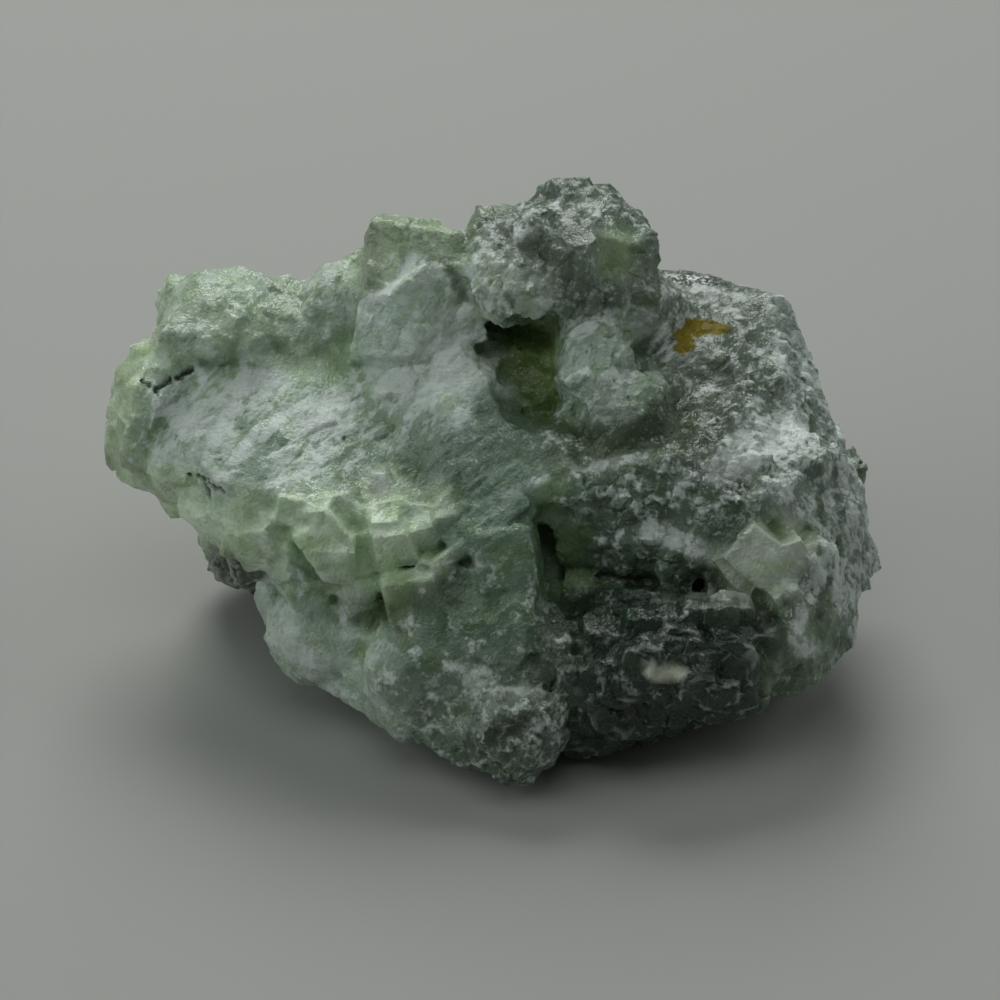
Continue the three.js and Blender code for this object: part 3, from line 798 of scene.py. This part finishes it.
# %% Thin the skin and keep it in the box
MOST_TRIANGLES = 194000
SHARP = math.radians(34)
stone.data.calc_loop_triangles()
pick(stone)
thin = stone.modifiers.new("thin", "DECIMATE")
thin.ratio = MOST_TRIANGLES / len(stone.data.loop_triangles)
bpy.ops.object.modifier_apply(modifier=thin.name)
points = np.clip(read(stone.data.vertices, "co"), np.array(cad_low), np.array(cad_high))
set_skin(points)
bpy.ops.object.shade_smooth_by_angle(angle=SHARP)
stone.data.calc_loop_triangles()
print("skin", len(stone.data.loop_triangles), "triangles", [a.name for a in stone.data.attributes])

# %% [markdown]
# The material needs to know which points stand proud and which lie in hollows, because frost sits on the
# first and painted shade in the second. Comparing the skin with a smoothed copy of itself tells both.

# %% Measure what stands proud
pairs = neighbours()
normals = read(stone.data.vertices, "normal")


def relief(rounds, depth):
    """From -1 in a hollow to 1 on a ridge, for forms of about that depth in mm."""
    away = points - smoothed(points, pairs, rounds)
    return np.clip((away * normals).sum(axis=1) / (depth * MM), -1, 1)


fine_relief = relief(rounds=5, depth=0.10)
wide_relief = relief(rounds=90, depth=0.9)
print("relief", round(float(fine_relief.std()), 2), round(float(wide_relief.std()), 2))

# %% [markdown]
# Colour is laid on by region, as a painter would block it in. Every region has a ground tint in linear
# light, and how much frost lies on it. The nodes add all the variation, and painted shade in the hollows.
# The deep hollows have their own dark grounds already, so most of their relief, and with it most of that
# painted shade, is taken back.

# %% Block in the colours
GROUNDS = {
    "rim": ((0.539, 0.671, 0.473), 0.25),
    "dome": ((0.458, 0.582, 0.447), 0.40),
    "ridge": ((0.440, 0.550, 0.440), 0.50),
    "facet": ((0.500, 0.640, 0.470), 0.10),
    "frosted face": ((0.360, 0.490, 0.380), 0.75),
    "worn face": ((0.250, 0.350, 0.260), 0.55),
    # The band's pale ground is partly its own colour and partly a painted glow, for light that comes
    # through its crystals on the shaded front.
    "band": ((0.588, 0.734, 0.542), 0.25),
    "front block": ((0.560, 0.717, 0.594), 0.68),
    "rear block": ((0.384, 0.492, 0.336), 0.35),
    "notch": ((0.260, 0.330, 0.200), 0.15),
    "knob": ((0.138, 0.187, 0.143), 0.40),
    "knob foot": ((0.555, 0.661, 0.555), 0.70),
    "pit": ((0.390, 0.520, 0.312), 0.05),
    "cavity": ((0.130, 0.205, 0.054), 0.00),
    "saddle": ((0.627, 0.750, 0.678), 0.88),
    "fan": ((0.140, 0.215, 0.155), 0.20),
    "fan foot": ((0.215, 0.315, 0.235), 0.22),
    "recess": ((0.270, 0.405, 0.230), 0.15),
    "boss": ((0.307, 0.413, 0.318), 0.50),
    "right rim": ((0.155, 0.200, 0.165), 0.55),
    "right top": ((0.108, 0.152, 0.108), 0.50),
    "olive side": ((0.075, 0.120, 0.055), 0.30),
    "flank": ((0.220, 0.285, 0.245), 0.78),
    "front": ((0.121, 0.184, 0.131), 0.52),
    "notched plate": ((0.582, 0.672, 0.560), 0.20),
    "scales": ((0.018, 0.040, 0.023), 0.12),
    "flange": ((0.169, 0.254, 0.156), 0.30),
    "low lobe": ((0.497, 0.626, 0.518), 0.50),
    "lobe middle": ((0.210, 0.290, 0.215), 0.45),
    "slab": ((0.151, 0.235, 0.157), 0.36),
    "crevice": ((0.143, 0.204, 0.072), 0.05),
    "tip": ((0.095, 0.140, 0.100), 0.48),
    # Painted shade: the foot under the left mass gets a very dark ground, partly its own dark olive and
    # partly the shade that falls there.
    "shaded foot": ((0.050, 0.065, 0.045), 0.10),
    "pale back": ((0.340, 0.430, 0.330), 0.42),
    "dark back": ((0.185, 0.240, 0.185), 0.50),
    "under": ((0.110, 0.145, 0.105), 0.20),
}
OWN_DEPTH = 0.8
final_shares = shares(points)
tint = sum(final_shares[name][:, None] * np.array(GROUNDS[name][0]) for name in NAMES)
frost = sum(final_shares[name] * GROUNDS[name][1] for name in NAMES)
rising = sum(final_shares[name] for name in ("fan", "fan foot", "right top", "right rim", "boss"))
steep = sum(final_shares[name] for name in ("flank", "flange", "notched plate"))
swept = sum(final_shares[name] for name in ("frosted face", "worn face", "saddle", "front block"))
hollows = sum(final_shares[name] for name in ("notch", "cavity", "recess", "pit"))
wide_relief *= 1 - OWN_DEPTH * hollows
print("mean ground", [round(float(part), 3) for part in tint.mean(axis=0)])

# %% [markdown]
# A few marks are smaller than a region: a pale chip on the dark lobe, frosted patches, buff specks by the
# knob. Each is a soft round patch at a pixel of the view, with its own colour.

# %% Lay on the small patches
WHITE = (0.60, 0.65, 0.60)
CHIP = (0.70, 0.74, 0.61)
PALE = (0.36, 0.43, 0.37)
BUFF = (0.30, 0.28, 0.16)
PATCHES = [
    # pixel across and down, radii across and down in mm, colour, strength
    (671, 673, 1.35, 0.75, CHIP, 1.0),
    (652, 671, 0.6, 0.8, CHIP, 1.0),
    (657, 677, 0.7, 0.5, CHIP, 0.9),
    (664, 535, 2.3, 1.1, PALE, 0.3),
    (694, 550, 2.0, 1.1, PALE, 0.3),
    (314, 668, 1.8, 2.0, WHITE, 0.5),
    (380, 488, 0.9, 1.8, WHITE, 0.6),
    (430, 368, 2.4, 1.4, WHITE, 0.5),
    (470, 352, 3.0, 1.6, WHITE, 0.35),
    (504, 690, 3.2, 0.8, WHITE, 0.15),
    (466, 670, 1.8, 0.7, WHITE, 0.15),
    (740, 470, 3.6, 1.8, PALE, 0.45),
    (714, 292, 1.6, 0.4, WHITE, 0.5),
    (545, 487, 1.6, 0.7, PALE, 0.2),
    (590, 470, 3.4, 0.7, PALE, 0.2),
    (645, 458, 3.0, 0.5, PALE, 0.2),
    (800, 618, 0.8, 1.4, PALE, 0.8),
    (476, 300, 0.25, 0.6, BUFF, 0.9),
    (482, 290, 0.3, 0.3, BUFF, 0.7),
    (494, 314, 0.3, 0.5, BUFF, 0.8),
    (503, 302, 0.2, 0.3, BUFF, 0.7),
]
PATCH_REACH = 1.3
PATCH_SOFT = 0.6
PATCH_DEPTH = 2
right = np.array(camera.matrix_world.col[0][:3])
up = np.array(camera.matrix_world.col[1][:3])
for across, down, wide, tall, colour, strength in PATCHES:
    place = seen(across, down)
    if place:
        away = points - np.array(place)
        across_part = away @ right / (wide * MM)
        down_part = away @ up / (tall * MM)
        depth_part = np.linalg.norm(away, axis=1) / (max(wide, tall) * PATCH_DEPTH * MM)
        reach = np.sqrt(across_part**2 + down_part**2 + depth_part**2)
        cover = (np.clip(PATCH_REACH - reach, 0, PATCH_SOFT) / PATCH_SOFT * strength)[:, None]
        tint = tint * (1 - cover) + np.array(colour) * cover
print(len(PATCHES), "patches")

# %% [markdown]
# Pale lines run along the crests of the saddle and the blocks, and pale strokes lie on the broken faces.
# Dark lines of painted shade part the crystals and lie under ledges, in the cave by the tip and along the
# shaded streaks of the right mass. They are drawn like the cracks, as lines of pixels in the view, each
# with its width and strength.

# %% Draw the pale crests and strokes, and the painted shade
STROKES = [
    # pixels, width in mm, strength
    ([(411, 255), (404, 272), (392, 285), (376, 298), (358, 308)], 0.5, 0.9),
    ([(350, 319), (349, 345), (352, 372), (360, 392)], 0.25, 0.7),
    ([(465, 308), (448, 322), (430, 345), (411, 354), (392, 362), (368, 367)], 0.5, 0.95),
    ([(240, 386), (262, 380), (283, 382)], 0.8, 0.8),
    ([(233, 408), (236, 409)], 0.5, 0.9),
    ([(216, 398), (224, 402)], 0.5, 0.7),
    ([(243, 360), (241, 378)], 0.35, 0.8),
    ([(196, 368), (203, 380)], 0.35, 0.7),
    ([(192, 427), (210, 424), (228, 436)], 0.8, 0.7),
    ([(250, 442), (275, 414)], 0.25, 0.7),
    ([(262, 440), (291, 404)], 0.25, 0.7),
    ([(236, 452), (262, 424)], 0.3, 0.6),
    ([(315, 424), (334, 412), (352, 402)], 0.9, 0.65),
    ([(305, 470), (326, 450)], 0.7, 0.6),
    ([(160, 406), (176, 414), (186, 430)], 0.8, 0.6),
    ([(380, 478), (378, 496)], 0.5, 0.8),
    ([(720, 470), (745, 455), (775, 440), (797, 428)], 1.3, 0.45),
    ([(556, 206), (588, 204)], 0.7, 0.5),
    ([(484, 236), (500, 226)], 0.8, 0.4),
    ([(775, 292), (795, 310), (808, 335), (814, 365)], 1.0, 0.5),
    ([(694, 287), (716, 290), (741, 297)], 0.3, 0.8),
    ([(580, 332), (600, 318), (640, 320), (664, 334)], 0.7, 0.45),
    ([(582, 372), (590, 352)], 0.35, 0.55),
    ([(616, 372), (630, 377)], 0.5, 0.5),
    ([(560, 480), (580, 470), (610, 463), (645, 456)], 0.4, 0.55),
    ([(505, 495), (525, 487), (548, 478)], 0.4, 0.6),
    ([(838, 560), (834, 600)], 0.3, 0.6),
    ([(826, 556), (822, 596)], 0.25, 0.5),
    ([(804, 610), (799, 628)], 0.6, 1.0),
    ([(791, 646), (815, 648)], 0.8, 0.6),
    ([(820, 562), (811, 600)], 0.3, 0.9),
    ([(846, 562), (840, 612)], 0.3, 0.6),
    ([(282, 640), (305, 662), (330, 690)], 1.1, 0.45),
    ([(340, 600), (350, 640)], 0.6, 0.35),
    ([(466, 680), (500, 690), (539, 694)], 0.5, 0.6),
    ([(447, 665), (487, 672)], 0.4, 0.5),
    ([(534, 724), (560, 738)], 0.5, 0.5),
    ([(437, 564), (420, 596), (405, 626)], 0.25, 0.6),
    ([(448, 562), (500, 566)], 0.2, 0.4),
    ([(652, 532), (676, 540), (708, 552)], 0.8, 0.6),
]
# Painted shade: dark lines in the grooves between crystals, under ledges and edges, in the cave by the tip
# and along the shaded streaks of the right mass.
PAINTED_SHADE_LINES = [
    ([(563, 576), (600, 574), (640, 577), (670, 580)], 0.35, 0.85),
    ([(700, 560), (716, 585), (736, 602)], 0.35, 0.6),
    ([(762, 606), (778, 628), (784, 650)], 0.5, 0.6),
    ([(838, 540), (828, 580), (818, 616)], 0.4, 0.6),
    ([(494, 738), (508, 728), (524, 722)], 0.6, 0.85),
    ([(446, 262), (456, 280), (463, 300)], 0.4, 0.6),
    ([(500, 312), (520, 322), (540, 318)], 0.45, 0.6),
    ([(508, 296), (513, 306)], 0.4, 0.6),
    ([(640, 430), (670, 405), (700, 380)], 1.0, 0.35),
    ([(690, 452), (722, 425)], 0.8, 0.4),
    ([(812, 420), (820, 470), (823, 520)], 0.4, 0.5),
    ([(836, 470), (842, 520)], 0.35, 0.5),
    ([(292, 562), (318, 579), (340, 586)], 0.22, 0.5),
    ([(400, 562), (426, 566)], 0.25, 0.5),
    ([(620, 395), (600, 410)], 0.8, 0.3),
    ([(365, 225), (372, 262), (366, 292)], 1.0, 0.35),
]
STROKE_WHITE = np.array((0.82, 0.90, 0.87))
PAINTED_SHADE_DARK = np.array((0.040, 0.060, 0.035))
STROKE_BODY = 0.4
STROKE_REACH = 1.6


def stroke(line, width, strength):
    """How strongly a soft line of pixels covers every point of the skin."""
    marks = [seen(*pixel) for pixel in line]
    marks = [np.array(place) for place in marks if place]
    cover = np.zeros(len(points))
    for start, end in zip(marks, marks[1:]):
        near = np.clip(STROKE_REACH - from_line(start, end) / (width * MM), 0, 1)
        cover = np.maximum(cover, near * near * (3 - 2 * near) * strength)
    return cover


brushed = np.zeros(len(points))
for line, width, strength in STROKES:
    cover = stroke(line, width, strength)
    brushed = np.maximum(brushed, cover)
    cover = (cover * STROKE_BODY)[:, None]
    tint = np.maximum(tint, tint * (1 - cover) + STROKE_WHITE * cover)
# Painted shade darkens the colour along these lines and takes the frost away there.
for line, width, strength in PAINTED_SHADE_LINES:
    cover = stroke(line, width, strength)[:, None]
    tint = tint * (1 - cover) + PAINTED_SHADE_DARK * cover
    frost *= 1 - cover[:, 0]
print(len(STROKES), "pale strokes,", len(PAINTED_SHADE_LINES), "dark ones")

# %% [markdown]
# Here and there a cluster of tiny clean faces on the right mass mirrors the windows. These glints are drawn
# the same way, and the material makes the skin glossier and its facets steeper in them, and paints white
# specks into their colour as painted highlights.

# %% Mark the glints
GLINTS = [
    # pixels, width in mm, strength
    ([(668, 279), (690, 278), (712, 281)], 0.5, 1.0),
    ([(700, 474), (718, 480), (735, 484)], 0.9, 1.0),
    ([(745, 398), (752, 392)], 0.4, 0.9),
    ([(792, 440), (797, 425)], 0.4, 0.9),
    ([(800, 310), (812, 340), (820, 380)], 0.7, 0.8),
    ([(790, 620), (800, 606)], 0.4, 0.9),
    ([(812, 556), (806, 590)], 0.3, 0.8),
    ([(576, 440), (579, 446)], 0.25, 0.9),
    ([(283, 488), (292, 492)], 0.4, 0.8),
]
glint = np.zeros(len(points))
for line, width, strength in GLINTS:
    glint = np.maximum(glint, stroke(line, width, strength))

keep("tint", "FLOAT_COLOR", np.hstack([tint, np.ones((len(points), 1))]))
for name, values in {
    "frost": frost, "fine_relief": fine_relief, "wide_relief": wide_relief, "rising": rising,
    "steep": steep, "swept": swept, "glint": glint, "brushed": brushed,
}.items():
    keep(name, "FLOAT", values)
print("stored", [attribute.name for attribute in stone.data.attributes])

# %% [markdown]
# One material covers the stone. These helpers keep its node tree readable: each adds one node and gives
# back its output.

# %% Start the stone's material
prehnite = bpy.data.materials.new("prehnite")
prehnite.use_nodes = True
tree = prehnite.node_tree
shader = tree.nodes["Principled BSDF"]


def node(kind, **settings):
    """Adds a node. A setting that names an input sets its value, or links it when it is given an output."""
    made = tree.nodes.new(kind)
    for key, value in settings.items():
        if key in made.bl_rna.properties:
            setattr(made, key, value)
            continue
        by_number = key[0] == "i" and key[1:].isdigit()
        socket = made.inputs[int(key[1:])] if by_number else made.inputs[key.replace("_", " ")]
        if isinstance(value, bpy.types.NodeSocket):
            tree.links.new(value, socket)
        else:
            socket.default_value = value
    return made


def stored(name, output="Fac"):
    """Reads a value that is stored on the skin."""
    return node("ShaderNodeAttribute", attribute_name=name).outputs[output]


def cloud(size, detail=3, roughness=0.6, vector=None):
    """Noise whose pattern is `size` mm large, on object coordinates unless a vector is given."""
    at = vector or places
    return node(
        "ShaderNodeTexNoise", Vector=at, Scale=1 / (size * MM), Detail=detail, Roughness=roughness
    ).outputs["Fac"]


def ramp(value, low, high, to_low=0.0, to_high=1.0):
    """Maps a value from low..high onto 0..1 or another range, and clamps it."""
    ends = {"From_Min": low, "From_Max": high, "To_Min": to_low, "To_Max": to_high}
    return node("ShaderNodeMapRange", Value=value, **ends).outputs["Result"]


def maths(operation, first, second):
    """One step of arithmetic between two values."""
    return node("ShaderNodeMath", operation=operation, i0=first, i1=second).outputs["Value"]


def blend(amount, below, above):
    """Mixes two values."""
    return node("ShaderNodeMix", data_type="FLOAT", i0=amount, i2=below, i3=above).outputs[0]


def mixed(amount, below, above, how="MIX"):
    """Mixes two colours."""
    return node("ShaderNodeMix", data_type="RGBA", blend_type=how, i0=amount, i6=below, i7=above).outputs[2]


def vectors(operation, first, second=(0, 0, 0), output="Vector"):
    """One step of arithmetic between two vectors."""
    return node("ShaderNodeVectorMath", operation=operation, i0=first, i1=second).outputs[output]


FINER = 1.3


def drawn_out(along, stretch):
    """Slightly finer object coordinates, squeezed along a direction so that noise is drawn out along it."""
    turn = Vector(along).to_track_quat("Y", "Z").to_euler()
    turned = node("ShaderNodeVectorRotate", rotation_type="EULER_XYZ", invert=True, Vector=places)
    turned.inputs["Rotation"].default_value = turn
    squeeze = (FINER, FINER / stretch, FINER)
    return node("ShaderNodeMapping", Vector=turned.outputs[0], Scale=squeeze).outputs[0]


# %% [markdown]
# The colour starts from the stored tint. Each crystal has its own tone, clouds of milk and olive drift
# through the stone, and the deep hollows are painted darker and greener as painted shade.

# %% Colour the body of the stone
places = node("ShaderNodeTexCoord").outputs["Object"]
tint_read = stored("tint", "Color")
tone_read = stored("tone")
edge_read = stored("edge")
fine = stored("fine_relief")
wide = stored("wide_relief")
frosty = stored("frost")

MILKY = (1.32, 1.30, 1.34, 1)
DEEP = (0.62, 0.74, 0.42, 1)
HOLLOW_SHADE = (0.34, 0.44, 0.22, 1)
milk = mixed(ramp(cloud(5.5, 4), 0.45, 0.7), tint_read, mixed(1.0, tint_read, MILKY, "MULTIPLY"))
deep = mixed(ramp(cloud(2.6, 4, 0.65), 0.56, 0.36, 0.0, 0.6), milk, mixed(1.0, milk, DEEP, "MULTIPLY"))
toned = node("ShaderNodeHueSaturation", Value=ramp(tone_read, -0.6, 0.6, 0.76, 1.24), Color=deep).outputs[0]
# Painted shade: the colour is multiplied darker and greener in the wide hollows of the skin.
shaded_hollows = mixed(ramp(wide, 0.0, -0.9, 0.0, 0.7), toned, mixed(1.0, toned, HOLLOW_SHADE, "MULTIPLY"))

# %% [markdown]
# Frost is the fine white rubble of broken crystal faces. It gathers in flecks along the grain of the
# crystals, most of all on edges that stand proud. The pale rims on crystal borders are partly frost and
# partly a painted glow, for light that comes through thin edges. Noises drawn out in three directions are
# blended by region, so that the flecks run across the fan and the pale face, down the flank, and every way
# elsewhere.
# region, so that the flecks run across the fan and the pale face, down the flank, and every way elsewhere.

# %% Frost on the broken faces, and painted glints
SWEPT = (0.64, 0.64, 0.48)
FROST_WHITE = (0.78, 0.88, 0.83, 1)
PAINTED_GLINT_WHITE = (0.98, 1.0, 0.99, 1)
along_fan = drawn_out(RISING, 3.0)
over_face = drawn_out(SWEPT, 3.5)
down_flank = drawn_out(STEEP, 5.0)
rising_read = stored("rising")
swept_read = stored("swept")
steep_read = stored("steep")


def flecks(size, detail, roughness):
    """Noise that follows the grain of the crystals."""
    plain = cloud(size, detail, roughness)
    risen = blend(rising_read, plain, cloud(size, detail, roughness, along_fan))
    brushed_over = blend(swept_read, risen, cloud(size, detail, roughness, over_face))
    return blend(steep_read, brushed_over, cloud(size, detail, roughness, down_flank))


small_flecks = flecks(0.5, 3, 0.6)
large_flecks = flecks(1.5, 4, 0.62)
wide_patches = cloud(4.2, 3, 0.6)
gather = maths("MULTIPLY", wide_patches, 0.24)
for cause, weight in ((large_flecks, 0.5), (small_flecks, 0.3), (fine, 0.025), (stored("brushed"), 0.15)):
    gather = maths("ADD", gather, maths("MULTIPLY", cause, weight))
threshold = ramp(frosty, 0.0, 1.0, 0.66, 0.44)
frost_amount = ramp(maths("SUBTRACT", gather, threshold), -0.02, 0.065, 0.0, 0.76)
# Partly frost and partly painted glow: crystal borders that stand proud are made paler.
edge_frost_and_glow = maths("MULTIPLY", ramp(edge_read, 0.3, 0.9, 0.0, 0.4), ramp(fine, -0.4, 0.4))
frosted = mixed(maths("MAXIMUM", frost_amount, edge_frost_and_glow), shaded_hollows, FROST_WHITE)
# Painted highlight: white sparkles painted into the colour where glints are marked.
painted_sparkle = maths("MULTIPLY", ramp(cloud(0.32, 1, 0.5), 0.54, 0.60), stored("glint"))
frosted = mixed(painted_sparkle, frosted, PAINTED_GLINT_WHITE)

# %% [markdown]
# One ochre stain lies on the right mass, an L on its side. Its two arms are balls of object space drawn out
# along the arm, with their border frayed by noise. The cracks are darkened.

# %% Stain and dark cracks
OCHRE = (0.190, 0.152, 0.0, 1)
CRACK_DARK = (0.022, 0.026, 0.018, 1)
HALF = (0.5, 0.5, 0.5)
STAIN_FRAY = 1.6 * MM
STAIN_ARMS = [
    # pixel, radii in mm: across the stone, in depth, upwards
    ((704, 328), (2.6, 1.05, 1.05)),
    ((685, 341), (0.85, 1.5, 1.5)),
]
frayed = node("ShaderNodeTexNoise", Scale=1 / (1.1 * MM), Detail=3, Vector=places).outputs["Color"]
shift = vectors("SUBTRACT", frayed, HALF)
nudged = vectors("ADD", places, vectors("MULTIPLY", shift, (STAIN_FRAY, STAIN_FRAY, STAIN_FRAY)))
stain = None
for pixel, radii in STAIN_ARMS:
    middle = seen(*pixel)
    inverse = tuple(1 / (radius * MM) for radius in radii)
    scaled = vectors("MULTIPLY", vectors("SUBTRACT", nudged, tuple(middle)), inverse)
    arm = ramp(vectors("LENGTH", scaled, output="Value"), 1.12, 0.8, 0.0, 0.95)
    stain = arm if stain is None else maths("MAXIMUM", stain, arm)
stained = mixed(stain, frosted, OCHRE)
darkened_cracks = mixed(maths("MULTIPLY", stored("crack"), 0.9), stained, CRACK_DARK)
tree.links.new(darkened_cracks, shader.inputs["Base Color"])

# %% [markdown]
# Broken crystal faces are glassy where they are clean and dull where they are frosted or stained. A little
# light goes below the skin and comes out beside where it went in. The bump has two parts: tiny tilted
# facets, made by giving each Voronoi cell its own slope, and a fine sugar of noise.

# %% Gloss and grain
GLINT_ROUGH = 0.10
FROST_ROUGH = 0.65
CLEAN_SHINE = 0.5
STAIN_SHINE = 0.08
rough = blend(frost_amount, ramp(small_flecks, 0.35, 0.65, 0.18, 0.42), FROST_ROUGH)
tree.links.new(blend(stored("glint"), rough, GLINT_ROUGH), shader.inputs["Roughness"])
tree.links.new(blend(stain, CLEAN_SHINE, STAIN_SHINE), shader.inputs["Specular IOR Level"])
for name, value in {
    "IOR": 1.63,
    "Subsurface Weight": 0.15,
    "Subsurface Radius": (0.8, 1.0, 0.75),
    "Subsurface Scale": 0.6 * MM,
}.items():
    shader.inputs[name].default_value = value


def facets(size, vector):
    """The height of many small planes, each tilted its own way."""
    voronoi = node("ShaderNodeTexVoronoi", Scale=1 / (size * MM), Vector=vector)
    from_middle = vectors("SUBTRACT", vector, voronoi.outputs["Position"])
    way = vectors("SUBTRACT", voronoi.outputs["Color"], HALF)
    return vectors("DOT_PRODUCT", from_middle, way, "Value")


steepness = blend(stored("glint"), 0.5, 1.0)
tilted = node("ShaderNodeBump", Strength=steepness, Distance=0.9, Height=facets(0.9, places)).outputs[0]
sugar = cloud(0.35, 2, 0.6)
grainy = node("ShaderNodeBump", Strength=0.8, Distance=0.2 * MM, Height=sugar, Normal=tilted).outputs[0]
tree.links.new(grainy, shader.inputs["Normal"])

stone.data.materials.clear()
stone.data.materials.append(prehnite)
print("material", len(tree.nodes), "nodes")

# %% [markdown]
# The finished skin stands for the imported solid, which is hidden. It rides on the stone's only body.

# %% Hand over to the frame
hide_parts("prehnite")
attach(stone, "root")
